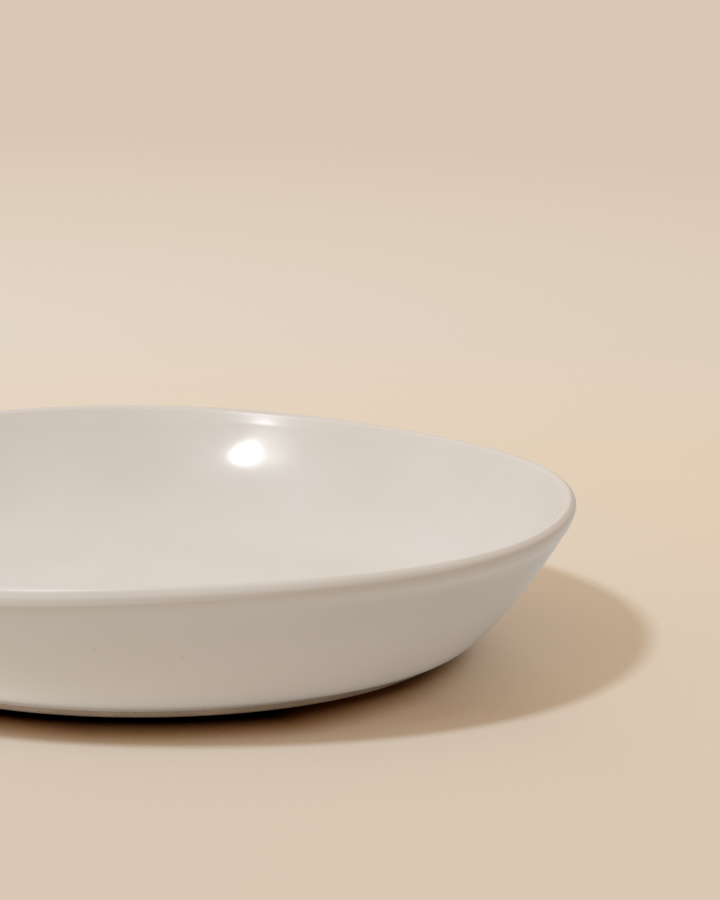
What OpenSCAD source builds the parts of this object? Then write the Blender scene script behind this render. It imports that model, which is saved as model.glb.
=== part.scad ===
// Pasta bowl: a low, wide stoneware bowl with a bare foot ring and a coat of satin glaze.
// Millimetres. The table is z = 0, the bowl's axis is the Z axis, and +Z is up.
// A profile of the wall is turned round the axis, and a slow wave, which is
// nothing at the foot and full at the lip, makes the rim hand-shaped.

/* [Rim] */
// Mean diameter across the finished lip
rim_d = 230; // [200:1:270]
// Mean height of the lip's crest above the table
bowl_h = 41.2; // [34:0.1:60]
// Thickness of the finished lip, which is fully rounded
lip_t = 3.8; // [2.6:0.1:6]

/* [Well] */
// Diameter of the flat well inside
well_d = 132; // [100:1:150]
// Thickness of the clay floor
floor_t = 5.5; // [3.5:0.1:9]

/* [Foot] */
// Diameter of the foot ring where it joins the body
foot_d = 161; // [140:1:176]
// Height of the foot ring, which is how deep the base is recessed
foot_h = 2; // [1.2:0.1:5]
// Width of the foot ring
foot_w = 5; // [3:0.1:12]
// How far each side of the foot ring leans in at the table
foot_lean = 0.2; // [0:0.1:0.8]
// Radius of the foot ring's two lower edges
foot_edge = 0.4; // [0.2:0.1:0.8]

/* [Glaze] */
// Thickness of the glaze
glaze_t = 0.45; // [0.3:0.05:0.8]

/* [Curve of the wall] */
// Angle by which the outside lies flatter than its chord at the foot
base_turn = 25; // [15:1:32]
// Angle by which the wall stands steeper than its chord at the lip
lip_turn = 10; // [4:1:18]
// Reach of the outer curve's pull at the foot, as a share of the chord
base_pull = 0.31; // [0.2:0.01:0.4]
// Reach of the outer curve's pull at the lip, as a share of the chord
lip_pull = 0.38; // [0.25:0.01:0.42]
// Reach of the inner curve's pull at the well, as a share of its chord
well_pull = 0.42; // [0.3:0.01:0.55]
// Reach of the inner curve's pull at the lip, as a share of its chord
inner_lip_pull = 0.38; // [0.25:0.01:0.45]

/* [Hand-shaped rim, outward] */
// Oval: how far the long sides of the rim lie out of round
oval = 2.1; // [0:0.05:3]
// Direction of the oval's long axis, in degrees from +X
oval_dir = -62; // [-90:1:90]
// Three soft corners of the rim
three_corners = 0.4; // [0:0.05:1.5]
// Direction of the first of the three corners
three_corners_dir = 39; // [-60:1:60]
// Four soft corners of the rim
four_corners = 1.05; // [0:0.05:2]
// Direction of the first of the four corners
four_corners_dir = -39; // [-45:1:45]
// Five soft corners of the rim
five_corners = 0.55; // [0:0.05:1.5]
// Direction of the first of the five corners
five_corners_dir = 11; // [-36:1:36]

/* [Hand-shaped rim, upward] */
// Tilt: how far the high side of the lip lies above its mean height
tilt = 0.9; // [0:0.05:2]
// Direction of the high side
tilt_dir = 174; // [-180:1:180]
// Saddle: how far the two high sides lie above the mean height
saddle = 1.3; // [0:0.05:2]
// Direction of the saddle's high sides
saddle_dir = -41; // [-90:1:90]
// Three slow rises of the lip
three_rises = 0.45; // [0:0.05:1]
// Direction of the first of the three rises
three_rises_dir = 57; // [-60:1:60]
// Four slow rises of the lip
four_rises = 0.65; // [0:0.05:1]
// Direction of the first of the four rises
four_rises_dir = 3; // [-45:1:45]

/* [Hidden] */

turn_steps = 90;        // facets once round the bowl
wall_steps = 12;        // facets up each side of the wall
lip_steps = 4;          // facets over each half of the lip
edge_steps = 4;         // facets round each lower edge of the foot
fade = 1.5;             // power by which the rim's wave dies away towards the foot

rim_r = rim_d / 2;
foot_r = foot_d / 2;
foot_bore = foot_r - foot_w;
well_r = well_d / 2;
lip_r = lip_t / 2;
clay_lip_r = lip_r - glaze_t;
floor_z = foot_h + floor_t;

// ---- the section of the wall, in [radius, height] ----

function along(angle) = [cos(angle), sin(angle)];
function right_of(way) = [way[1], -way[0]] / norm(way);

// A cubic curve from p to s, pulled towards q and r, and its direction of travel
function bend(p, q, r, s, t) =
    pow(1 - t, 3) * p + 3 * pow(1 - t, 2) * t * q + 3 * (1 - t) * t * t * r + pow(t, 3) * s;
function bend_way(p, q, r, s, t) =
    pow(1 - t, 2) * (q - p) + 2 * (1 - t) * t * (r - q) + t * t * (s - r);

// A station is a point on the clay and the outward direction there, which the glaze grows along
function bend_stations(p, q, r, s, steps) = [
    for (i = [0 : steps]) let (t = i / steps)
        [bend(p, q, r, s, t), right_of(bend_way(p, q, r, s, t))]
];
function arc_stations(centre, radius, from, to, steps) = [
    for (i = [0 : steps]) let (out = along(from + (to - from) * i / steps))
        [centre + radius * out, out]
];
function without_first(list) = [for (i = [1 : len(list) - 1]) list[i]];
function backwards(list) = [for (i = [len(list) - 1 : -1 : 0]) list[i]];

foot_corner = [foot_r, foot_h];
lip_centre = [rim_r - lip_r, bowl_h - lip_r];
well_corner = [well_r, floor_z];

chord = norm(lip_centre - foot_corner);
chord_angle = atan2(lip_centre[1] - foot_h, lip_centre[0] - foot_r);
base_angle = chord_angle - base_turn;
lip_angle = chord_angle + lip_turn;
lip_outside = lip_centre + clay_lip_r * along(lip_angle - 90);
lip_inside = lip_centre + clay_lip_r * along(lip_angle + 90);
inner_chord = norm(lip_inside - well_corner);

// From the foot up the outside to the crest of the lip
outer_stations = concat(
    bend_stations(
        foot_corner,
        foot_corner + base_pull * chord * along(base_angle),
        lip_outside - lip_pull * chord * along(lip_angle),
        lip_outside,
        wall_steps
    ),
    without_first(arc_stations(lip_centre, clay_lip_r, lip_angle - 90, 90, lip_steps))
);
// From the crest of the lip down the inside to the edge of the flat well
inner_stations = concat(
    arc_stations(lip_centre, clay_lip_r, 90, lip_angle + 90, lip_steps),
    without_first(bend_stations(
        lip_inside,
        lip_inside - inner_lip_pull * inner_chord * along(lip_angle),
        well_corner + [well_pull * inner_chord, 0],
        well_corner,
        wall_steps
    ))
);

function clay_side(stations) = [for (s = stations) s[0]];
function glaze_side(stations) = [for (s = stations) s[0] + glaze_t * s[1]];

// ---- the hand-shaped rim ----

function rim_out(a) =
    oval * cos(2 * (a - oval_dir))
    + three_corners * cos(3 * (a - three_corners_dir))
    + four_corners * cos(4 * (a - four_corners_dir))
    + five_corners * cos(5 * (a - five_corners_dir));
function rim_up(a) =
    tilt * cos(a - tilt_dir)
    + saddle * cos(2 * (a - saddle_dir))
    + three_rises * cos(3 * (a - three_rises_dir))
    + four_rises * cos(4 * (a - four_rises_dir));

// How much of the wave a radius takes: none up to the foot, all of it at the lip
function wave_share(r) = pow(max(0, min(1, (r - foot_r) / (rim_r - foot_r))), fade);
function placed(p, a) = let (w = wave_share(p[0]), r = p[0] + w * rim_out(a))
    [r * cos(a), r * sin(a), p[1] + w * rim_up(a)];

// ---- solids turned from a section ----

// The section's points run anticlockwise. With poles, its first and last points lie on the
// axis; without, the section closes on itself. Clay and glaze share the facets between them,
// so the glaze, which meets them from the other side, splits each one along the other diagonal.
module turned(section, poles, other_diagonal) {
    rings = poles ? [for (i = [1 : len(section) - 2]) section[i]] : section;
    count = len(rings);
    bands = poles ? count - 1 : count;
    function at(i, j) = (i % count) * turn_steps + j % turn_steps;
    bottom = count * turn_steps;
    top = bottom + 1;
    points = concat(
        [for (p = rings, j = [0 : turn_steps - 1]) placed(p, 360 * j / turn_steps)],
        poles ? [placed(section[0], 0), placed(section[len(section) - 1], 0)] : []
    );
    walls = [
        for (i = [0 : bands - 1], j = [0 : turn_steps - 1], half = [0, 1])
            let (a = at(i, j), b = at(i + 1, j), c = at(i + 1, j + 1), d = at(i, j + 1))
            other_diagonal
                ? (half == 0 ? [a, b, d] : [b, c, d])
                : (half == 0 ? [a, b, c] : [a, c, d])
    ];
    caps = poles
        ? [
            for (j = [0 : turn_steps - 1], half = [0, 1])
                half == 0
                    ? [bottom, at(0, j), at(0, j + 1)]
                    : [at(count - 1, j), top, at(count - 1, j + 1)]
        ]
        : [];
    polyhedron(points, concat(walls, caps), convexity = 4);
}

// The fired clay: flat base, wall, rounded lip, inner wall and flat well
module stoneware_body() {
    color([0.76, 0.68, 0.58])
        turned(
            concat(
                [[0, foot_h]],
                clay_side(outer_stations),
                without_first(clay_side(inner_stations)),
                [[0, floor_z]]
            ),
            poles = true,
            other_diagonal = false
        );
}

// The bare clay ring that stands on the table, with two rounded lower edges
module foot_ring() {
    outer_centre = [foot_r - foot_lean - foot_edge, foot_edge];
    inner_centre = [foot_bore + foot_lean + foot_edge, foot_edge];
    color([0.70, 0.61, 0.50])
        rotate_extrude($fn = 2 * turn_steps)
            polygon(concat(
                [[foot_bore, foot_h]],
                clay_side(arc_stations(inner_centre, foot_edge, 180, 270, edge_steps)),
                clay_side(arc_stations(outer_centre, foot_edge, 270, 360, edge_steps)),
                [[foot_r, foot_h]]
            ));
}

// The liner coat, from the well's middle out to the crest of the lip
module inside_glaze() {
    color([0.87, 0.84, 0.79])
        turned(
            concat(
                [[0, floor_z]],
                backwards(clay_side(inner_stations)),
                glaze_side(inner_stations),
                [[0, floor_z + glaze_t]]
            ),
            poles = true,
            other_diagonal = true
        );
}

// The outer coat, from the foot line up to the crest of the lip
module outside_glaze() {
    color([0.84, 0.81, 0.76])
        turned(
            concat(glaze_side(outer_stations), backwards(clay_side(outer_stations))),
            poles = false,
            other_diagonal = true
        );
}

// The coat on the base, inside the foot ring
module base_glaze() {
    color([0.82, 0.79, 0.74])
        translate([0, 0, foot_h - glaze_t])
            cylinder(h = glaze_t, r = foot_bore, $fn = 2 * turn_steps);
}

stoneware_body();
foot_ring();
inside_glaze();
outside_glaze();
base_glaze();
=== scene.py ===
# %% [markdown]
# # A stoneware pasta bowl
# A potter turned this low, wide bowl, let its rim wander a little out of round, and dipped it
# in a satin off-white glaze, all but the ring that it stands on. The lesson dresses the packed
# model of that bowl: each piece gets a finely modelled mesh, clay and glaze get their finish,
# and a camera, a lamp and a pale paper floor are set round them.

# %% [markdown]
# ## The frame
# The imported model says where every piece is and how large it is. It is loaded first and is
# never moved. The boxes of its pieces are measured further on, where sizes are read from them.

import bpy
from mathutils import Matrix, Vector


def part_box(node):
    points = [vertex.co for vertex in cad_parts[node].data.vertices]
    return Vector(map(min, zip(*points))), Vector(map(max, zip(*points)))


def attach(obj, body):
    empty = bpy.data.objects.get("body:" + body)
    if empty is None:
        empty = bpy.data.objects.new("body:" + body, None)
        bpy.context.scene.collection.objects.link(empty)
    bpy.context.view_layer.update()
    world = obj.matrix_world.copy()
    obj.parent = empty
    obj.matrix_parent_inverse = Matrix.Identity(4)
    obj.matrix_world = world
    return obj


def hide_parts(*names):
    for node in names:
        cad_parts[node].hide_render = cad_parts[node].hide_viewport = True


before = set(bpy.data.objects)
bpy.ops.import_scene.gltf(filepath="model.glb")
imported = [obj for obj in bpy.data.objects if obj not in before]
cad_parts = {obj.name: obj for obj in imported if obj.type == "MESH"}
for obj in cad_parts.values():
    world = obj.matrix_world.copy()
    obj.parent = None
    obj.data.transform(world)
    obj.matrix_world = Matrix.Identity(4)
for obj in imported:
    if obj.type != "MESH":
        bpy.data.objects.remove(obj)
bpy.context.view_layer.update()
print("nodes in the frame:", sorted(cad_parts))

import bpy
import numpy as np
from mathutils import Matrix, Vector

mm = 0.001
print("Blender works in metres, and mm turns a size in millimetres into them")

# %% [markdown]
# ## The camera
# The bowl is seen from just above its rim through a long lens, and it runs out of the picture
# on the left. A long lens far away keeps the rim's oval flat and calm. Its place and its turn
# could be found by trying, but here they were solved from the outlines of rim, wall and foot.

# %% Place the camera
camera_lens = 171.66                                # millimetres, on a 36 mm sensor
camera_place = Vector((0, -1116.1, 281.4)) * mm
camera_turn_right = np.radians(2.858)
camera_tip_down = np.radians(11.641)
camera_roll = np.radians(0.115)
level = np.radians(90)                              # turns a camera that looks down to look ahead

camera_data = bpy.data.cameras.new("camera")
camera_data.lens = camera_lens
camera = bpy.data.objects.new("camera", camera_data)
camera.matrix_world = (
    Matrix.Translation(camera_place)
    @ Matrix.Rotation(-camera_turn_right, 4, "Z")
    @ Matrix.Rotation(level - camera_tip_down, 4, "X")
    @ Matrix.Rotation(camera_roll, 4, "Z")
)
bpy.context.scene.collection.objects.link(camera)
bpy.context.scene.camera = camera
print("the camera stands", round(camera_place.length, 3), "m from the bowl")

# %% [markdown]
# ## The sizes
# The foot, the base and the floor of the bowl are read from the frame's own boxes. The wall
# lies between them and the lip, so only the lip's sizes and the pull of the wall's curve are
# given here, and they are the same ones that the solids were built from.

# %% Read the foot and the floor from the frame
foot_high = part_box("foot_ring")[1]                  # the upper corner of its box
disc_low, disc_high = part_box("base_glaze")
foot_radius = foot_high.x
foot_height = foot_high.z
bore_radius = disc_high.x                           # of the recess inside the foot ring
glaze_thickness = disc_high.z - disc_low.z
floor_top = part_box("inside_glaze")[0].z             # of the clay, under the glaze
print("foot", round(foot_radius / mm, 2), round(foot_height / mm, 2), "bore", round(bore_radius / mm, 2))
print("glaze", round(glaze_thickness / mm, 2), "clay floor at", round(floor_top / mm, 2), "mm")

# %% Give the lip, the well and the pull of the curves
rim_radius = 230 * mm / 2                           # mean, to the outside of the lip
crest_height = 41.2 * mm                            # mean, of the lip
lip_radius = 3.8 * mm / 2                           # the lip is as round as a cord
well_radius = 132 * mm / 2
clay_lip_radius = lip_radius - glaze_thickness

base_turn = 25                                      # degrees flatter than the chord at the foot
lip_turn = 10                                       # degrees steeper than the chord at the lip
base_pull = 0.31                                    # reaches of the curves' pull, as shares
lip_pull = 0.38                                     # of the chord that each one spans
well_pull = 0.42
inner_lip_pull = 0.38
print("the bowl is", round(2 * rim_radius, 3), "m wide and", round(crest_height, 4), "m high")

# %% [markdown]
# ## The section of the wall
# Cut the bowl in half and the wall shows as a thin curved band. Its outside is one cubic curve
# that leaves the foot almost flat and stands up towards the lip. The lip is an arc, and the
# inside is a second cubic that runs out level into the flat well. A band of a few points with
# a Subdivision Surface modifier could give such a shape too, but a formula keeps the wall
# exactly where the solids have it. Each station of the section is a point together with the
# outward direction there, because glaze, ripples and the soft groove all grow along that.

# %% Curves and arcs in the plane of the section
def along(degrees):
    """The direction at an angle above the radius: (cosine, sine)."""
    turned = np.radians(degrees)
    return np.stack([np.cos(turned), np.sin(turned)], axis=-1)


def bend_stations(p, q, r, s, shares):
    """A cubic from p to s, pulled to q and r: (1-t)^3 p + 3(1-t)^2 t q + 3(1-t) t^2 r + t^3 s.
    Outward is the direction of travel turned a right angle clockwise."""
    t = shares[:, None]
    points = (1 - t) ** 3 * p + 3 * (1 - t) ** 2 * t * q + 3 * (1 - t) * t**2 * r + t**3 * s
    travel = (1 - t) ** 2 * (q - p) + 2 * (1 - t) * t * (r - q) + t**2 * (s - r)
    travel = travel / np.linalg.norm(travel, axis=1, keepdims=True)
    return points, np.stack([travel[:, 1], -travel[:, 0]], axis=1)


def arc_stations(centre, radius, degrees):
    """Points of a circle: centre + radius * direction, and that direction is outward."""
    return centre + radius * along(degrees), along(degrees)


def run_on(*stretches):
    """Stretches of stations in one row; each starts where the last ended, which is kept once."""
    points = [stretches[0][0]] + [stretch[0][1:] for stretch in stretches[1:]]
    outward = [stretches[0][1]] + [stretch[1][1:] for stretch in stretches[1:]]
    return np.concatenate(points), np.concatenate(outward)


print("a right angle clockwise from straight up is", bend_stations(
    np.array([0, 0]), np.array([0, 1]), np.array([0, 2]), np.array([0, 3]), np.array([0.5])
)[1])

# %% The corners that the curves join
foot_corner = np.array([foot_radius, foot_height])
well_corner = np.array([well_radius, floor_top])
lip_centre = np.array([rim_radius - lip_radius, crest_height - lip_radius])
chord = np.linalg.norm(lip_centre - foot_corner)
chord_angle = np.degrees(np.arctan2(*(lip_centre - foot_corner)[::-1]))
base_angle = chord_angle - base_turn
lip_angle = chord_angle + lip_turn
lip_outside = lip_centre + clay_lip_radius * along(lip_angle - 90)
lip_inside = lip_centre + clay_lip_radius * along(lip_angle + 90)
inner_chord = np.linalg.norm(lip_inside - well_corner)
print("the wall rises at", round(base_angle, 1), "degrees from the foot")
print("and at", round(lip_angle, 1), "degrees where it meets the lip")

# %% The clay from the foot to the crest, and from the crest to the middle of the well
wall_steps = 84
lip_steps = 18
well_steps = 14
end_radius = glaze_thickness / 2                    # the coat ends at the foot in a round bead
first_share = end_radius / (3 * base_pull * chord)  # the share of the curve that the bead takes
crest = 90                                          # degrees, straight up
even = np.linspace(0, 1, lip_steps + 1)
closing_in = 1 - (1 - even) ** 2                    # steps that grow small towards the crest
wall_growth = 1.5                                   # power by which steps grow away from the lip
opening_out = np.linspace(0, 1, wall_steps + 1) ** wall_growth

outer_clay, outer_outward = run_on(
    bend_stations(
        foot_corner,
        foot_corner + base_pull * chord * along(base_angle),
        lip_outside - lip_pull * chord * along(lip_angle),
        lip_outside,
        1 - (1 - first_share) * opening_out[::-1],
    ),
    arc_stations(lip_centre, clay_lip_radius, lip_angle - 90 + closing_in * (crest + 90 - lip_angle)),
)
inner_clay, inner_outward = run_on(
    arc_stations(lip_centre, clay_lip_radius, crest + even**2 * lip_angle),
    bend_stations(
        lip_inside,
        lip_inside - inner_lip_pull * inner_chord * along(lip_angle),
        well_corner + np.array([well_pull * inner_chord, 0]),
        well_corner,
        opening_out,
    ),
    (
        np.linspace(well_corner, [well_radius / well_steps, floor_top], well_steps),
        np.tile([0.0, 1.0], (well_steps, 1)),
    ),
)
print(len(outer_clay), "stations outside and", len(inner_clay), "inside")

# %% [markdown]
# ## What hands and fire do to the surface
# A drawn section is too perfect. On the real bowl the potter has bevelled the outside of the
# lip, with a fullness below the bevel at the front left and a soft finger groove there on the
# right, where the wall is also fuller low down. Inside, a sponge has left a narrow flat below
# the crest, which ends in a faint edge, and at one place the wall is a little fuller. All over
# it rises and sinks by hundredths of a millimetre, and the clay under the coat keeps fine
# throwing rings, which the glaze fills. These could be painted as bump, but light runs along
# them at the rim, where only real shape looks right. So each one is a height along the outward
# direction, given by how far a station lies from the crest, its reach, and by the angle round
# the bowl.

# %% How far each station lies from the crest
turns = 360                                         # steps once round the bowl
angles = np.radians(np.arange(turns) * 360 / turns)


def reach_from(points, first):
    """Distance along a row of points, the sum of its steps, measured from the point `first`."""
    steps = np.linalg.norm(np.diff(points, axis=0), axis=1)
    length = np.concatenate([[0], np.cumsum(steps)])
    return np.abs(length - length[first])


outer_reach = reach_from(outer_clay + glaze_thickness * outer_outward, -1)
inner_reach = reach_from(inner_clay + glaze_thickness * inner_outward, 0)
print("from the crest to the foot it is", round(outer_reach[0] / mm, 1), "mm")
print("and to the middle of the well", round(inner_reach[-1] / mm, 1), "mm")

# %% Humps and sides, from which the heights are made
def hump(values, centre, width):
    """A round hump, 1 at the centre and fading either side: exp(-((value - centre) / width)^2)."""
    return np.exp(-(((values - centre) / width) ** 2))


def one_sided(angle, side, gather):
    """1 on one side of the bowl and 0 on the other: ((1 + cos(angle - side)) / 2) ^ gather."""
    return ((1 + np.cos(angle - np.radians(side))) / 2) ** gather


def between(share, ends):
    """From the first end, where the share is 0, to the second, where it is 1."""
    return ends[0] + (ends[1] - ends[0]) * share


print("one width from its centre a hump is", round(hump(1, 0, 1), 2))

# %% The finger groove under the lip
groove_angle, groove_gather = -28, 3                # degrees from +X where it is deepest, how gathered
groove_depth = np.array([0.03, 0.16]) * mm          # opposite that side, and there
groove_reach, groove_width = 4.3 * mm, 0.75 * mm
swell_reach, swell_width = 7.0 * mm, 1.7 * mm
groove_swell = 0.6                                  # swelling below, as a share of the depth


def lip_groove(reach, angle):
    """A groove under the lip with a swelling below it; both are deepest at one angle round the rim."""
    depth = between(one_sided(angle, groove_angle, groove_gather), groove_depth)
    swelling = groove_swell * hump(reach, swell_reach, swell_width)
    return depth * (swelling - hump(reach, groove_reach, groove_width))


print("the groove lies", round(groove_reach / mm, 2), "mm below the crest")

# %% The bevel on the lip's outer face, and the fullness below it
face_angle, face_gather = -118, 2.9                 # degrees from +X where it is fullest, how gathered
face_start = 0.5 * mm                               # this near the crest it is left as it is
hollow_depth = np.array([0.29, 0.44]) * mm          # each pair: opposite that side, and there
hollow_reach, hollow_width = np.array([2.2, 2.6]) * mm, np.array([2.55, 1.9]) * mm
full_height = np.array([-0.05, 1.30]) * mm
full_reach, full_width = np.array([4.4, 5.3]) * mm, np.array([1.2, 1.85]) * mm
full_tail = np.array([1.2, 9.0]) * mm


def lip_face(reach, angle):
    """The lip's outer face: a hollow that bevels it and a fullness below that, fullest on one side.
    Each is a hump whose height, reach and width change with ((1 + cos(angle - side)) / 2) ^ gather,
    and below its middle the fullness has a width of its own."""
    side = one_sided(angle, face_angle, face_gather)
    hollow = hump(reach, between(side, hollow_reach), between(side, hollow_width))
    middle = between(side, full_reach)
    width = np.where(reach < middle, between(side, full_width), between(side, full_tail))
    full = hump(reach, middle, width)
    height = between(side, full_height) * full - between(side, hollow_depth) * hollow
    return height * (1 - hump(reach, 0, face_start))


print("the lip is up to", round(full_height[1] / mm, 2), "mm fuller at the front left")

# %% The flat inside the lip
flat_edge, flat_fade, flat_end = 5.1 * mm, 9 * mm, 40 * mm
flat_depth, flat_softness = 0.315 * mm, 0.12 * mm


def lip_flat(reach):
    """Nothing up to the flat's edge; beyond it the wall sinks back and slowly returns. With b the way
    beyond the edge, softened as softness * log(1 + exp(b / softness)), the height is
    -depth * (1 - exp(-b / fade)) * exp(-(b / end)^2)."""
    beyond = flat_softness * np.logaddexp(0, (reach - flat_edge) / flat_softness)
    return -flat_depth * (1 - np.exp(-beyond / flat_fade)) * hump(beyond, 0, flat_end)


print("the flat ends", round(flat_edge / mm, 2), "mm from the crest")

# %% The fuller places: one inside, and one low on the outside
rise_angle, rise_width = 70, 4.1                    # degrees from +X, degrees wide
rise_reach, rise_length, rise_height = 12 * mm, 11.7 * mm, 0.19 * mm
rise_start = 7 * mm                                 # it leaves the lip as it is
low_angle, low_spread = -33, 38                     # degrees from +X, degrees wide
low_reach, low_width, low_height = 8 * mm, 10 * mm, 1.2 * mm
low_start = 2.5 * mm                                # it leaves the foot as it is


def gentle_rise(reach, angle):
    """One place where the inside wall is a little fuller: a hump up the wall times one round it."""
    around = hump(np.degrees(angle), rise_angle, rise_width)
    return rise_height * hump(reach, rise_reach, rise_length) * around * (1 - hump(reach, 0, rise_start))


def low_fullness(up, angle):
    """A fullness low on the outside, on one side: a hump up the wall, `up` being the distance from
    the foot, times one round the bowl, and nothing where the wall meets the foot."""
    around = hump(np.degrees(angle - np.radians(low_angle) + np.pi) % 360, 180, low_spread)
    return low_height * hump(up, low_reach, low_width) * around * (1 - hump(up, 0, low_start))


print("the wall is fuller by", round(rise_height / mm, 2), "mm inside")
print("and low on the outside by", round(low_height / mm, 2), "mm")

# %% The slow unevenness and the throwing rings
wave_height, wave_length = 0.012 * mm, 9 * mm
uneven_waves = [                                    # height; up: rate, start; round: count, start
    (1.0, 1.0, 1.3, 2, 0.4),
    (1.0, 1.7, 0.6, 3, 2.1),
    (0.6, 2.6, 2.9, 5, 4.4),
]
ring_pitch, ring_height = 5.5 * mm, 0.02 * mm       # of the throwing rings in the clay


def unevenness(reach, angle):
    """Slow waves: the sum of height * sin(rate * reach / length + start) * sin(count * angle + start)."""
    up = reach / wave_length
    return wave_height * sum(
        height * np.sin(rate * up + start) * np.sin(count * angle + turn)
        for height, rate, start, count, turn in uneven_waves
    )


def throwing_rings(reach, angle):
    """A spiral ripple in the clay: height * cos(2 pi * reach / pitch - angle), gone at the crest."""
    return ring_height * np.cos(2 * np.pi * reach / ring_pitch - angle) * (1 - hump(reach, 0, ring_pitch))


print("the throwing rings stand", round(ring_pitch / mm, 2), "mm apart")

# %% The surfaces in the plane of the section: one row per station, one column per angle
outside_start, inside_start = 1.5 * mm, 3 * mm      # nearer the crest nothing is uneven


def raised(points, outward, height):
    """Each point moved by its height along its outward direction."""
    return points[:, None, :] + height[:, :, None] * outward[:, None, :]


outer_column = outer_reach[:, None]
inner_column = inner_reach[:, None]
outer_form = lip_groove(outer_column, angles) + unevenness(outer_column, angles)
outer_form *= 1 - hump(outer_column, 0, outside_start)
outer_form += lip_face(outer_column, angles) + low_fullness(outer_reach[0] - outer_column, angles)
inner_uneven = unevenness(inner_column, angles) * (1 - hump(inner_column, 0, inside_start))
inner_form = lip_flat(inner_column) + inner_uneven + gentle_rise(inner_column, angles)
outer_under = raised(outer_clay, outer_outward, outer_form + throwing_rings(outer_column, angles))
inner_under = raised(inner_clay, inner_outward, inner_form + throwing_rings(inner_column, angles))
outer_over = raised(outer_clay, outer_outward, outer_form + glaze_thickness)
inner_over = raised(inner_clay, inner_outward, inner_form + glaze_thickness)
print("section grids:", outer_over.shape, inner_over.shape)

# %% [markdown]
# ## The hand-shaped rim
# Seen from above the rim is not a circle, and seen from the side the lip is not level. Both
# are slow waves round the bowl, which are full at the lip and nothing at the foot. A Lattice
# or a Simple Deform modifier could bend a finished bowl like this, but as a formula the wave
# reaches clay and glaze alike, and it is the same wave that the solids have.

# %% Turn a section round the axis, with the rim's waves
fade = 1.5                                          # power by which the waves die away downwards
outward_waves = [(2, 2.1 * mm, -62), (3, 0.4 * mm, 39), (4, 1.05 * mm, -39), (5, 0.55 * mm, 11)]
upward_waves = [(1, 0.9 * mm, 174), (2, 1.3 * mm, -41), (3, 0.45 * mm, 57), (4, 0.65 * mm, 3)]


def wave(parts):
    """The sum, over parts of (count, height, direction), of height * cos(count * (angle - direction))."""
    return sum(height * np.cos(count * (angles - np.radians(way))) for count, height, way in parts)


def placed(section):
    """A grid of (radius, height) turned round the axis: x = r cos, y = r sin, z = height. The radius
    and the height first take their waves, times ((radius - foot) / (rim - foot)) ^ fade."""
    radius, height = section[..., 0], section[..., 1]
    share = np.clip((radius - foot_radius) / (rim_radius - foot_radius), 0, 1) ** fade
    waved = radius + share * wave(outward_waves)
    return np.stack(
        [waved * np.cos(angles), waved * np.sin(angles), height + share * wave(upward_waves)], axis=-1
    )


lip = placed(outer_over)[-1]
print("the crest lies", round(lip[:, 2].min() / mm, 2), "to", round(lip[:, 2].max() / mm, 2), "mm high")

# %% [markdown]
# ## From rings to a mesh
# Every piece of the bowl is a stack of rings. Faces join each ring to the next one, and the
# stack either closes on itself, like a tyre, or ends in a point on the axis at both ends. The
# rings run anticlockwise round the section, so that all faces look outwards, which the volume
# proves: it is positive only for a closed mesh whose faces look out.

# %% The corners of the faces that join the rings
def corner_rows(ring_count, closed):
    """Rows of four corners: ring i at step j, the same ring at j + 1, ring i + 1 at j + 1 and at j."""
    here = np.arange(ring_count if closed else ring_count - 1)[:, None]
    step = np.arange(turns)[None, :]
    above, onward = (here + 1) % ring_count, (step + 1) % turns
    corners = [here * turns + step, here * turns + onward, above * turns + onward, above * turns + step]
    return np.stack(corners, axis=-1).reshape(-1, 4)


def pole_rows(ring_count):
    """Rows of three corners that join the first and the last ring to a point on the axis."""
    step = np.arange(turns)
    onward = (step + 1) % turns
    top_ring = (ring_count - 1) * turns
    bottom, top = np.full(turns, ring_count * turns), np.full(turns, ring_count * turns + 1)
    low = np.stack([bottom, onward, step], axis=-1)
    high = np.stack([top_ring + step, top_ring + onward, top], axis=-1)
    return np.concatenate([low, high])


print("two rings are joined by", len(corner_rows(2, False)), "faces of four corners")

# %% Build a closed mesh from a stack of rings
sharp_from = 35                                     # degrees between two faces, where an edge is crisp


def volume(points, triangles):
    """A sixth of the sum, over the triangles, of a . (b x c)."""
    a, b, c = (points[triangles[:, k]] for k in range(3))
    return np.einsum("ij,ij->", a, np.cross(b, c)) / 6


def turned_mesh(name, rings, heights_on_axis=None):
    """A mesh over rings of shape (count, turns, 3). With two heights on the axis, it ends there."""
    count = len(rings)
    points = rings.reshape(-1, 3)
    quads = corner_rows(count, closed=heights_on_axis is None)
    triangles = np.empty((0, 3), int)
    if heights_on_axis is not None:
        points = np.concatenate([points, [[0, 0, height] for height in heights_on_axis]])
        triangles = pole_rows(count)
    mesh = bpy.data.meshes.new(name)
    mesh.vertices.add(len(points))
    mesh.vertices.foreach_set("co", points.ravel().astype(np.float32))
    corners = np.concatenate([quads.ravel(), triangles.ravel()])
    mesh.loops.add(len(corners))
    mesh.loops.foreach_set("vertex_index", corners.astype(np.int32))
    sides = np.concatenate([np.full(len(quads), 4), np.full(len(triangles), 3)])
    mesh.polygons.add(len(sides))
    mesh.polygons.foreach_set("loop_start", (np.cumsum(sides) - sides).astype(np.int32))
    mesh.update(calc_edges=True)
    mesh.validate()
    mesh.shade_smooth()
    mesh.set_sharp_from_angle(angle=np.radians(sharp_from))
    halves = np.concatenate([quads[:, [0, 1, 2]], quads[:, [0, 2, 3]], triangles])
    cubic_cm = volume(points, halves) / (10 * mm) ** 3
    print(name, len(halves), "triangles,", round(cubic_cm, 2), "cubic centimetres")
    return mesh


print("an edge sharper than", sharp_from, "degrees stays crisp")

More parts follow.
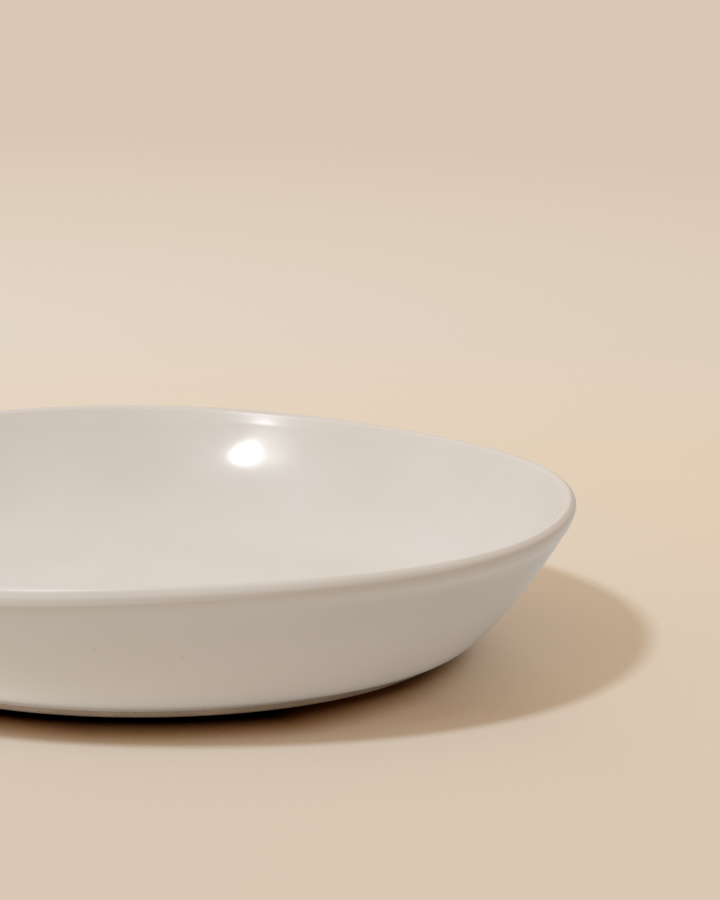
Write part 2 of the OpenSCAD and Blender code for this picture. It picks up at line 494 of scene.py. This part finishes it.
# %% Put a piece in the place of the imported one
def piece(mesh, material, node_name):
    """An object at the origin that wears the material and stands for a node of the frame."""
    made = bpy.data.objects.new(mesh.name, mesh)
    bpy.context.scene.collection.objects.link(made)
    mesh.materials.append(material)
    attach(made, "root")
    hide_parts(node_name)


print("every piece rides on the one body of the frame, root")

# %% [markdown]
# ## Building a finish from nodes
# A finish is a small network of nodes. Patterns read the Object coordinates, which are the
# place of a point on the piece, so nothing has to be unwrapped and nothing slides. These few
# helpers keep the networks short: one adds a node, one a noise of a real size, one spreads a
# value over a new range, some put two values or colours together, and one starts a material.

# %% Add a node, a noise and a spread
mild, strong = (0.3, 0.7), (0.35, 0.65)             # stretches of a noise: the narrower, the stronger


def add(tree, kind, inputs=None, **settings):
    """A shader node; its inputs, by name or number, are given a value or joined to a socket."""
    made = tree.nodes.new("ShaderNode" + kind)
    for name, value in settings.items():
        setattr(made, name, value)
    for name, value in (inputs or {}).items():
        if isinstance(value, bpy.types.NodeSocket):
            tree.links.new(value, made.inputs[name])
        else:
            made.inputs[name].default_value = value
    return made


def noise(tree, place, size, detail=2.0, roughness=0.5):
    """A cloudy value about 0.5, whose clouds are `size` metres across."""
    values = {"Vector": place, "Scale": 1 / size, "Detail": detail, "Roughness": roughness}
    return add(tree, "TexNoise", values).outputs["Fac"]


def spread(tree, value, old, new):
    """A value taken from one range to another in a straight line, and held at the ends."""
    values = {"Value": value, "From Min": old[0], "From Max": old[1], "To Min": new[0], "To Max": new[1]}
    return add(tree, "MapRange", values).outputs["Result"]


print("a mild noise runs from", *mild, "and a strong one from", *strong)

# %% Put two values or colours together
def math(tree, operation, a, b):
    """Two values put together by one operation."""
    return add(tree, "Math", {0: a, 1: b}, operation=operation).outputs[0]


def measured(tree, operation, a, b=(0, 0, 0)):
    """A single value measured on one or two vectors: a length, a distance or a dot product."""
    return add(tree, "VectorMath", {0: a, 1: b}, operation=operation).outputs["Value"]


def tinted(tree, colour, tint):
    """A colour times a tint, part by part."""
    return add(tree, "VectorMath", {0: colour, 1: tint}, operation="MULTIPLY").outputs[0]


def mixed(tree, share, a, b):
    """A colour between a and b: a where the share is 0 and b where it is 1."""
    return add(tree, "Mix", {0: share, 6: a, 7: b}, data_type="RGBA").outputs[2]


print("a tint takes its share of red, green and blue")

# %% Start a material
def new_material(name):
    """An empty material with its Principled shader, and the Object coordinates to read."""
    material = bpy.data.materials.new(name)
    material.use_nodes = True
    tree = material.node_tree
    shader = tree.nodes["Principled BSDF"]
    place = add(tree, "TexCoord").outputs["Object"]
    return material, tree, shader, place


print("each finish starts from one Principled shader")

# %% [markdown]
# ## Satin glaze
# The glaze is warm off-white. It is not one colour: slow clouds run through it, and over the
# crest of the lip and at the foot line it thins, so that the clay warms it and it dries out to a
# duller sheen. On one side under the lip the colour is paler: that is painted light, where the
# wall catches light. Iron in the clay makes a few soft, tiny specks outside. Its gloss has two
# layers: a clear reflection, in which a lamp shows as a bright round spot, and a faint haze over
# it, which gives the spot its halo. Specks could be painted, but a cell pattern strews them without an
# image.

# %% Specks from a cell pattern
speck_core = 0.4                                    # how much of a speck's radius is full, not fading


def specks(tree, place, spacing, radius, share):
    """1 in a few small spots: cells `spacing` apart hold a spot of `radius`, and only a share do."""
    cells = add(tree, "TexVoronoi", {"Vector": place, "Scale": 1 / spacing})
    edge = radius / spacing
    spot = spread(tree, cells.outputs["Distance"], (edge, speck_core * edge), (0, 1))
    lot = add(tree, "SeparateColor", {"Color": cells.outputs["Color"]}).outputs["Red"]
    return math(tree, "MULTIPLY", spot, math(tree, "LESS_THAN", lot, share))


print("a speck is a small ball in the pattern, cut by the surface")

# %% The glaze's colours, its patterns and its gloss
inside_colours = (0.706, 0.652, 0.591, 1), (0.733, 0.680, 0.623, 1)
outside_colours = (0.689, 0.634, 0.573, 1), (0.715, 0.661, 0.604, 1)
glaze_thin = (0.662, 0.588, 0.508, 1)
# The next colour is painted light, for a paler band under the lip on one side.
painted_light_colour = (0.820, 0.770, 0.712, 1)
cloud_size, grain_size = 38 * mm, 0.7 * mm
grain_most = 0.12                                   # how far a grain goes towards the thin colour
speck_colour, speck_strength = (0.42, 0.35, 0.29, 1), 0.3
speck_spacing, speck_radius = 7 * mm, 0.9 * mm
speck_rise = -0.6                                   # it dips in the orange peel, so it is below 0
peel_size, peel_height, peel_strength = 3.2 * mm, 0.004 * mm, 0.25
gloss, gloss_tint = 0.2, (1.0, 0.75, 0.58, 1)       # of the clear reflection
haze_weight, haze_roughness = 0.22, 0.30
satin_size, satin_roughness = 12 * mm, (0.105, 0.135)
thin_dryness, thin_power = 0.6, 0.5                 # how much rougher thin glaze is, and how soon
print("the haze over the gloss weighs", haze_weight)

# %% Make the glaze
def satin_glaze(name, colours, speck_share):
    """The glaze's network: slow clouds, thin places, a band of painted light under the lip, specks,
    a fine grain and an orange-peel bump.
    """
    material, tree, shader, place = new_material(name)
    clouds = spread(tree, noise(tree, place, cloud_size, detail=3), strong, (0, 1))
    thin = add(tree, "Attribute", attribute_name="thin_glaze").outputs["Fac"]
    grain = spread(tree, noise(tree, place, grain_size, detail=3), mild, (0, grain_most))
    colour = mixed(tree, clouds, *colours)
    colour = mixed(tree, grain, colour, glaze_thin)
    colour = mixed(tree, thin, colour, glaze_thin)
    # Painted light: under the lip on one side the wall is paler, where it catches light.
    light_band = add(tree, "Attribute", attribute_name="painted_light_band").outputs["Fac"]
    colour = mixed(tree, light_band, colour, painted_light_colour)
    spots = specks(tree, place, speck_spacing, speck_radius, speck_share)
    colour = mixed(tree, math(tree, "MULTIPLY", spots, speck_strength), colour, speck_colour)
    tree.links.new(colour, shader.inputs["Base Color"])
    satin = spread(tree, noise(tree, place, satin_size, detail=4), mild, satin_roughness)
    dry = math(tree, "MULTIPLY", math(tree, "POWER", thin, thin_power), thin_dryness)
    tree.links.new(math(tree, "ADD", satin, dry), shader.inputs["Roughness"])
    peel = noise(tree, place, peel_size, detail=1)
    peel = math(tree, "ADD", peel, math(tree, "MULTIPLY", spots, speck_rise))
    bump = add(tree, "Bump", {"Height": peel, "Strength": peel_strength, "Distance": peel_height})
    tree.links.new(bump.outputs["Normal"], shader.inputs["Normal"])
    shader.inputs["Specular IOR Level"].default_value = gloss
    shader.inputs["Specular Tint"].default_value = gloss_tint
    shader.inputs["Coat Weight"].default_value = haze_weight
    shader.inputs["Coat Roughness"].default_value = haze_roughness
    return material


glaze_inside = satin_glaze("satin_glaze_inside", inside_colours, speck_share=0.0)
glaze_outside = satin_glaze("satin_glaze_outside", outside_colours, speck_share=0.10)
print("made", glaze_inside.name, "and", glaze_outside.name)

# %% [markdown]
# ## Bare stoneware
# Where the foot was wiped clean, the fired clay shows: a matt grey-brown, sandy to the touch,
# with dark grains of fired sand in it. Two noises of different size mottle the colour, a cell
# pattern strews the grains, and a bump makes the sandy feel, which is finer than any mesh
# should be.

# %% Make the bare clay
clay_colour = (0.47, 0.375, 0.285, 1)
clay_pale = (0.60, 0.50, 0.40, 1)
sand_colour, sand_strength = (0.22, 0.165, 0.12, 1), 0.7
mottle_size, fine_size = 9 * mm, 0.45 * mm
fine_stretch, fine_most = (0.35, 0.7), 0.5          # how far the fine noise goes back to plain clay
sand_spacing, sand_radius, sand_share = 1.6 * mm, 0.28 * mm, 0.35
sand_rise, sandy_height, sandy_strength = 0.5, 0.06 * mm, 0.6
clay_roughness = (0.78, 0.95)


def bare_stoneware():
    """The clay's network: mottled colour, dark grains of sand and a sandy bump."""
    material, tree, shader, place = new_material("bare_stoneware")
    mottle = spread(tree, noise(tree, place, mottle_size, detail=5, roughness=0.65), strong, (0, 1))
    fine = noise(tree, place, fine_size, detail=3, roughness=0.7)
    colour = mixed(tree, mottle, clay_colour, clay_pale)
    colour = mixed(tree, spread(tree, fine, fine_stretch, (0, fine_most)), colour, clay_colour)
    sand = specks(tree, place, sand_spacing, sand_radius, sand_share)
    colour = mixed(tree, math(tree, "MULTIPLY", sand, sand_strength), colour, sand_colour)
    tree.links.new(colour, shader.inputs["Base Color"])
    tree.links.new(spread(tree, fine, mild, clay_roughness), shader.inputs["Roughness"])
    relief = math(tree, "ADD", fine, math(tree, "MULTIPLY", sand, sand_rise))
    bump = add(tree, "Bump", {"Height": relief, "Strength": sandy_strength, "Distance": sandy_height})
    tree.links.new(bump.outputs["Normal"], shader.inputs["Normal"])
    return material


stoneware = bare_stoneware()
print("made", stoneware.name)

# %% [markdown]
# ## The clay
# Under the glaze is the bowl itself: a flat base, the wall, the lip and the well, in one piece
# of fired clay. Nobody sees much of it on the finished bowl, but it is what a potter made, so
# it carries its throwing rings, and the coats lie on it.

# %% Build the clay bowl
base_steps = 12
base_row = np.linspace([foot_radius / base_steps, foot_height], foot_corner, base_steps)
base_grid = np.repeat(base_row[:, None, :], turns, axis=1)
clay_section = np.concatenate([base_grid, outer_under, inner_under[1:]])
clay_mesh = turned_mesh("clay_bowl", placed(clay_section), (foot_height, floor_top))
piece(clay_mesh, stoneware, "stoneware_body")

# %% [markdown]
# ## The inside coat
# The potter pours glaze in, swirls it round and tips it out, so the inside coat runs from the
# well to the crest of the lip. Its mesh goes out along the clay and comes back along the glaze's
# own surface. A Solidify modifier would make a coat from one surface too, but its two sides
# would then be alike, and here the clay keeps its rings while the glaze lies smooth.

# %% Mark where the coat is thin, and build the inside coat
thin_reach = 1.2 * mm
thin_crest, thin_foot = 0.65, 0.35                  # how thin at the crest and at the foot line


def mark(mesh, name, values):
    """Stores one number per point under a name, by which the glaze's network reads it."""
    layer = mesh.attributes.new(name, "FLOAT", "POINT")
    layer.data.foreach_set("value", values.astype(np.float32))


def thin_at_crest(column):
    """Thin over the crest: thin_crest * exp(-(reach / thin_reach)^2), the same at every angle."""
    return np.repeat(thin_crest * hump(column, 0, thin_reach), turns, axis=1)


inside_section = np.concatenate([inner_under[::-1], inner_over])
inside_heights = (floor_top, floor_top + glaze_thickness)
inside_mesh = turned_mesh("glaze_inside", placed(inside_section), inside_heights)
inside_thin = thin_at_crest(inner_column)
mark(inside_mesh, "thin_glaze", np.concatenate([inside_thin[::-1].ravel(), inside_thin.ravel(), [0, 0]]))
piece(inside_mesh, glaze_inside, "inside_glaze")

# %% [markdown]
# ## The outside coat
# Then the bowl is dipped rim first, down to the foot, and the coats meet on the crest of the
# lip. At the foot line the glaze was wiped back before the firing. Molten glaze draws itself up
# there into a round bead with a slightly wavering edge, so the coat's lower end is half a
# circle, moved up and down the wall by a small wave. Under the lip, on one side, the wall is
# painted paler where it catches light: that painted light is a mark on the mesh, from which the
# finish takes its paler colour.

# %% Round the coat's lower end into a bead with a wavering edge
bead_steps = 10
bead_waver = 0.07 * mm
bead_waves = [(1.0, 7, 0.8), (0.6, 17, 2.2), (0.3, 31, 0.0)]
bead_centre = outer_clay[0] + end_radius * outer_outward[0]
base_outward_angle = base_angle - 90
bead_sweep = np.linspace(base_outward_angle - 180, base_outward_angle, bead_steps + 1)[1:-1]
bead_row = arc_stations(bead_centre, end_radius, bead_sweep)[0]


def ripple(parts):
    """Waves round the bowl: the sum of height * sin(count * angle + start) over the parts."""
    return sum(height * np.sin(count * angles + start) for height, count, start in parts)


def wavered(grid):
    """The grid moved by the waver along the wall, in the direction in which it leaves the foot."""
    return grid + waver[None, :, None] * along(base_angle)


waver = bead_waver * ripple(bead_waves)
bead = wavered(np.repeat(bead_row[:, None, :], turns, axis=1))
print("the glaze's edge wavers by up to", round(np.abs(waver).max() / mm, 2), "mm")

# %% Build the outside coat, and mark where it is thin and where light is painted on
light_band_angle, light_band_gather = -30, 9                  # degrees from +X where the painted light is strongest, how gathered
light_band_reach, light_band_width, light_band_most = 6.3 * mm, 2.4 * mm, 0.75
outside_section = np.concatenate([
    bead, wavered(outer_over[:1]), outer_over[1:], outer_under[:0:-1], wavered(outer_under[:1]),
])
outside_mesh = turned_mesh("glaze_outside", placed(outside_section))
outside_thin = thin_at_crest(outer_column) + np.repeat(
    thin_foot * hump(outer_reach[0] - outer_column, 0, thin_reach), turns, axis=1
)
bead_thin = np.full(bead.shape[:2], thin_foot)
# A band of painted light under the lip, on one side.
light_band_side = one_sided(angles, light_band_angle, light_band_gather)
outside_light_band = light_band_most * light_band_side * hump(outer_column, light_band_reach, light_band_width)
thin_rows = np.concatenate([bead_thin, outside_thin, outside_thin[::-1]])
light_band_rows = np.concatenate([0 * bead_thin, outside_light_band, outside_light_band[::-1]])
mark(outside_mesh, "thin_glaze", thin_rows.ravel())
mark(outside_mesh, "painted_light_band", light_band_rows.ravel())
piece(outside_mesh, glaze_outside, "outside_glaze")

# %% [markdown]
# ## The foot ring
# The bowl stands on a low ring of bare clay. A potter trims it and then rubs its edges with a
# wet sponge, so they are round, and wear rounds them further. The ring's section is a short
# band with two arcs below, and its sides waver by a few hundredths of a millimetre.

# %% Build the foot ring
foot_lean = 0.2 * mm                                # how far each side leans in at the table
edge_radius = 0.4 * mm
edge_steps = 10
flat_steps = 6
side_waver = 0.03 * mm
side_waves = [(1.0, 9, 1.1), (0.7, 23, 0.3)]
outer_edge = np.array([foot_radius - foot_lean - edge_radius, edge_radius])
inner_edge = np.array([bore_radius + foot_lean + edge_radius, edge_radius])
# The outer arc leaves out its first point, so the flat below runs on to the next one.
ring_row = run_on(
    arc_stations(inner_edge, edge_radius, np.linspace(180, 270, edge_steps + 1)),
    arc_stations(outer_edge, edge_radius, np.linspace(270, 360, edge_steps + 1)),
)[0]
low_steps = np.linspace(ring_row[edge_steps], ring_row[edge_steps + 1], flat_steps)[1:-1]
side_steps = np.linspace(ring_row[-1], foot_corner, flat_steps)[1:]
bore_corner = np.array([bore_radius, foot_height])
top_steps = np.linspace(foot_corner, bore_corner, flat_steps)[1:]
bore_steps = np.linspace(bore_corner, ring_row[0], flat_steps)[1:-1]
ring_row = np.concatenate([
    ring_row[: edge_steps + 1], low_steps, ring_row[edge_steps + 1 :], side_steps, top_steps, bore_steps,
])
ring_grid = np.repeat(ring_row[:, None, :], turns, axis=1)
halfway = hump(ring_row[:, 1], foot_height / 2, foot_height / 4)[:, None]
ring_grid[..., 0] += side_waver * ripple(side_waves) * halfway
piece(turned_mesh("foot", placed(ring_grid)), stoneware, "foot_ring")

# %% [markdown]
# ## The coat on the base
# Inside the ring the base was glazed too. Its disc of glaze has a round edge just short of the
# ring, and it shows the faint circles of the trimming tool under it. It is turned like the
# rest: out along the underside, round the edge, and back along the clay.

# %% Build the base coat
disc_steps = 40
circle_pitch, circle_height = 6.5 * mm, 0.012 * mm
edge_gap = 0.25 * mm                                # mean, between the coat's edge and the ring
edge_waver_reach = 3 * mm                           # how far in from the ring the edge's waver goes
edge_thin_reach = 1.5 * mm                          # and how far the thin glaze does
disc_edge = np.array([bore_radius - edge_gap - end_radius, foot_height - end_radius])
radii = np.linspace(disc_edge[0] / disc_steps, disc_edge[0], disc_steps)
circles = circle_height * (np.cos(2 * np.pi * radii / circle_pitch) - 1)
under_row = np.stack([radii, foot_height - glaze_thickness - circles], axis=1)
round_row = arc_stations(disc_edge, end_radius, np.linspace(-90, 90, bead_steps + 1)[1:])[0]
over_row = np.stack([radii[-2::-1], np.full(disc_steps - 1, foot_height)], axis=1)
disc_row = np.concatenate([under_row, round_row, over_row])
disc_grid = np.repeat(disc_row[:, None, :], turns, axis=1)
disc_grid[..., 0] += waver * hump(disc_grid[..., 0], bore_radius, edge_waver_reach)
disc_mesh = turned_mesh("glaze_base", placed(disc_grid), (foot_height - glaze_thickness, foot_height))
disc_thin = np.repeat(thin_foot * hump(disc_row[:, :1], bore_radius, edge_thin_reach), turns, axis=1)
mark(disc_mesh, "thin_glaze", np.concatenate([disc_thin.ravel(), [0, 0]]))
piece(disc_mesh, glaze_outside, "base_glaze")

# %% [markdown]
# ## The light
# One round lamp stands to the front left, high up and less than a metre away. Its place was
# solved from the bright spot in the bowl and from the edge of the shadow, and its width from
# how soft that edge is. Its light is a little cool. The rest comes from a warmer room, which is
# brightest overhead and a bit brighter on the left and behind. A photographed room could light
# the bowl too, but four colours are enough, and they can be read. Lamp and room are set so that
# level white paper at the bowl would come out as white: a colour renders as it is written.

# %% Set the lamp
lamp_place = Vector((-271.6, -242.4, 726.4)) * mm
lamp_width = 116 * mm
lamp_share = 0.38                                   # of the light on level paper at the bowl
lamp_colour = (0.77, 1.0, 1.26)

lamp_data = bpy.data.lights.new("lamp", "AREA")
lamp_data.shape = "DISK"
lamp_data.size = lamp_width
lamp_data.color = lamp_colour
# A disc of power P lights level paper by P * cos / (pi * distance^2); to be white it needs pi.
cosine = lamp_place.normalized().z
lamp_data.energy = lamp_share * np.pi**2 * lamp_place.length_squared / cosine
lamp = bpy.data.objects.new("lamp", lamp_data)
lamp_turn = lamp_place.to_track_quat("Z", "Y")      # it shines along its own -Z, back at the bowl
lamp.matrix_world = Matrix.Translation(lamp_place) @ lamp_turn.to_matrix().to_4x4()
bpy.context.scene.collection.objects.link(lamp)
print("the lamp has", round(lamp_data.energy, 2), "W")

# %% Set the room
room_level = (0.516, 0.385, 0.324)                  # from the horizon
room_above = (0.312, 0.368, 0.296)                  # more from straight above
room_left = (0.139, 0.141, 0.111)                   # more from the left, less from the right
room_behind = (0.092, 0.124, 0.160)                 # more from behind, less from the front
room_seen = (0.700, 0.580, 0.460, 1)                # what the camera sees past the paper

world = bpy.data.worlds.new("studio")
bpy.context.scene.world = world
world.use_nodes = True
tree = world.node_tree
toward = add(tree, "SeparateXYZ", {0: add(tree, "TexCoord").outputs["Generated"]}).outputs
leftward = math(tree, "MULTIPLY", toward["X"], -1.0)


def more(colour, share, base):
    """A base colour with a share of another one added: base + share * colour."""
    return add(tree, "VectorMath", {0: colour, 1: share, 2: base}, operation="MULTIPLY_ADD").outputs[0]


room = more(room_above, toward["Z"], room_level)
room = more(room_left, leftward, room)
room = more(room_behind, toward["Y"], room)
seen = add(tree, "LightPath").outputs["Is Camera Ray"]
tree.links.new(mixed(tree, seen, room, room_seen), tree.nodes["Background"].inputs["Color"])
on_level = 2 / 3                                    # how much of the light from above level paper gets
print("level paper gets", [
    round(lamp_share * part + level + above * on_level, 2)
    for part, level, above in zip(lamp_colour, room_level, room_above)
], "of white")

# %% [markdown]
# ## The paper floor
# The bowl stands on a sheet of matt, sand-coloured paper that runs back out of sight, and a pool
# of painted light makes it palest behind the bowl. It has two tasks. What the camera sees is its
# colour, with the bowl's shadow: the lamp casts that, and where the bowl stands close over the
# paper an Ambient Occlusion node deepens it to a warm, dark line of painted shade. The line is
# weaker at the right, where soft light from the room reaches in under the bowl, and a little
# weaker at the far left. What the bowl sees is the light that the paper throws up at it: much
# from the lit side, less from the side that lies in the shadow, and hardly any right beside the
# foot. That is given as a glow of its own, and only the bowl meets it.

# %% The paper's colour, and how evenly the lamp lights it
paper_colour = (0.697, 0.575, 0.455, 1)
# Painted light: the paper grows paler towards one place behind the bowl.
paper_light_pool = (0.768, 0.672, 0.558, 1)
light_pool_place = (-0.15, 0.45, 0.0)                     # metres: where the painted light makes it palest
light_pool_start, light_pool_reach = 0.1, 0.62                  # metres from there, where that fades and is gone
fibre_size, fibre_tone = 1.2 * mm, (0.97, 1.03)


def paper_tone(tree, place):
    """Sand-coloured paper with a fine fibre, made paler towards one place by painted light."""
    away = measured(tree, "DISTANCE", place, light_pool_place)
    fibre = spread(tree, noise(tree, place, fibre_size, detail=4, roughness=0.7), mild, fibre_tone)
    tone = mixed(tree, spread(tree, away, (light_pool_start, light_pool_reach), (0, 1)), paper_light_pool, paper_colour)
    return tinted(tree, tone, fibre)


def evening(tree, place):
    """What makes up for the lamp's fall-off: 1 / (1 - share + share * light), where the lamp's light,
    as a share of that at the bowl, is (1 - place . lamp / reach^2) * (reach / distance)^4."""
    reach = lamp_place.length
    distance = measured(tree, "DISTANCE", place, lamp_place)
    nearer = measured(tree, "DOT_PRODUCT", place, lamp_place / reach**2)
    faded = math(tree, "POWER", math(tree, "DIVIDE", reach, distance), 4.0)
    light = math(tree, "MULTIPLY", math(tree, "SUBTRACT", 1.0, nearer), faded)
    return math(tree, "DIVIDE", 1.0, spread(tree, light, (0, 2), (1 - lamp_share, 1 + lamp_share)))


print("the paper is palest", light_pool_place, "m from the bowl")

# %% The shadow close to the bowl
close_reach = 120 * mm                              # how far the bowl darkens the paper
close_dark, close_light = 0.230, 0.434              # openness at which the line is black, and is gone
right_way = (0.9, 0.35, 0.0)                        # to the right and a little to the back
right_start, right_end = 0, 90 * mm                 # over this stretch that way it grows weaker
right_lift, right_least = 0.25, 0.4                 # openness it gains, and its least light at the foot
left_start, left_end = -48 * mm, -75 * mm           # over this stretch the other way
left_lift = 0.045                                   # it gains this much
warmth = (1.0, 1.4, 1.9)                            # powers by which red, green and blue darken


def closeness(tree, place):
    """How open to the room the paper is, how far it lies to the right, and the dark line's tint."""
    openness = add(tree, "AmbientOcclusion", {"Distance": close_reach}, samples=32).outputs["AO"]
    rightward = measured(tree, "DOT_PRODUCT", place, right_way)
    right = spread(tree, rightward, (right_start, right_end), (0, 1))
    left = spread(tree, rightward, (left_start, left_end), (0, left_lift))
    lifted = math(tree, "ADD", openness, math(tree, "MULTIPLY", right, right_lift))
    lifted = math(tree, "ADD", lifted, left)
    least = math(tree, "MULTIPLY", right, right_least)
    line = spread(tree, lifted, (close_dark, close_light), (least, 1))
    darkened = {part: math(tree, "POWER", line, power) for part, power in enumerate(warmth)}
    return openness, rightward, add(tree, "CombineXYZ", darkened).outputs[0]


print("the paper darkens within", close_reach, "m of the bowl")

# %% The light that the paper throws up at the bowl
glow_far = (0.595, 0.588, 0.556, 1)
glow_lit = (1.180, 1.115, 1.030, 1)
glow_shaded = (0.420, 0.320, 0.230, 1)
glow_side = 202                                     # degrees from +X, the lit side
glow_reach, foot_reach = 45 * mm, 12 * mm           # how fast the sides and the foot's dark fade
foot_lit, foot_light = (0.1, 1), (0.04, 0.78)       # how lit a side is, and its light at the foot
beside_reach, beside_least = 1.6 * mm, 0.15         # right beside the foot hardly any light is left
fade_span = 10                                      # reaches from the foot, where nothing is left


def fading(tree, distance, reach):
    """1 up to the foot and fading outside it: exp(-(distance - foot) / reach)."""
    steps = spread(tree, distance, (foot_radius, foot_radius + fade_span * reach), (0, -fade_span))
    return math(tree, "POWER", np.e, steps)


def glow(tree, place):
    """Far from the bowl one colour; near it lit and shaded by (1 + cos(angle - lit side)) / 2. It
    weakens towards the foot, most on the shaded side, and once more right beside it."""
    distance = measured(tree, "LENGTH", place)
    way = add(tree, "VectorMath", {0: place}, operation="NORMALIZE").outputs[0]
    cosine = measured(tree, "DOT_PRODUCT", way, (*along(glow_side), 0))
    lit = spread(tree, cosine, (-1, 1), (0, 1))
    near = mixed(tree, lit, glow_shaded, glow_lit)
    colour = mixed(tree, fading(tree, distance, glow_reach), glow_far, near)
    at_foot = spread(tree, lit, foot_lit, foot_light)
    strength = spread(tree, fading(tree, distance, foot_reach), (0, 1), (1, at_foot))
    beside = spread(tree, fading(tree, distance, beside_reach), (0, 1), (1, beside_least))
    strength = math(tree, "MULTIPLY", strength, beside)
    return add(tree, "Emission", {"Color": colour, "Strength": strength}).outputs[0]


print("the glow is brightest", glow_side, "degrees round from +X")

# %% Lay the paper
paper_half = 8.0                                    # metres from the bowl to the sheet's edge
fade_start, fade_end = 0.26, 0.46                   # metres from the bowl, lit paper to given colour
room_fill = (0.31, 0.33, 0.34)                      # soft light that reaches in under the bowl
open_start, open_end = 0.44, 0.56                   # openness at which some comes in all round
open_most = 0.3                                     # the share of it that does
fill_start, fill_end = 40 * mm, 85 * mm             # the stretch to the right where it comes in
paper_roughness = 0.9


def paper():
    """Lit paper near the bowl for the camera, its plain colour far off, and a glow for the bowl."""
    material, tree, shader, place = new_material("paper")
    openness, rightward, tint = closeness(tree, place)
    tone = paper_tone(tree, place)
    near = tinted(tree, tone, tint)
    tree.links.new(tinted(tree, near, evening(tree, place)), shader.inputs["Base Color"])
    shader.inputs["Roughness"].default_value = paper_roughness
    shader.inputs["Specular IOR Level"].default_value = 0.0
    tree.links.new(tinted(tree, near, room_fill), shader.inputs["Emission Color"])
    covered = math(tree, "SUBTRACT", 1.0, openness)
    right = spread(tree, rightward, (fill_start, fill_end), (0, 1))
    front = spread(tree, openness, (open_start, open_end), (0, open_most))
    reached = math(tree, "MAXIMUM", right, front)
    tree.links.new(math(tree, "MULTIPLY", covered, reached), shader.inputs["Emission Strength"])
    plain = add(tree, "Emission", {"Color": tone})
    far = spread(tree, measured(tree, "LENGTH", place), (fade_start, fade_end), (0, 1))
    camera_view = add(tree, "MixShader", {0: far, 1: shader.outputs[0], 2: plain.outputs[0]}).outputs[0]
    seen = add(tree, "LightPath").outputs["Is Camera Ray"]
    both = add(tree, "MixShader", {0: seen, 1: glow(tree, place), 2: camera_view})
    tree.links.new(both.outputs[0], tree.nodes["Material Output"].inputs["Surface"])
    material.cycles.emission_sampling = "NONE"      # rays find a floor this wide by themselves
    return material


corners = np.array([[-1, -1, 0], [1, -1, 0], [1, 1, 0], [-1, 1, 0]]) * paper_half
paper_mesh = bpy.data.meshes.new("paper_floor")
paper_mesh.from_pydata(corners.tolist(), [], [[0, 1, 2, 3]])
paper_mesh.materials.append(paper())
paper_floor = bpy.data.objects.new("paper_floor", paper_mesh)
bpy.context.scene.collection.objects.link(paper_floor)
print("the paper is", 2 * paper_half, "m wide")

# %% [markdown]
# ## Finish
# Colours go to the picture as they are, through the Standard view.

# %% Finish
bpy.context.scene.view_settings.view_transform = "Standard"
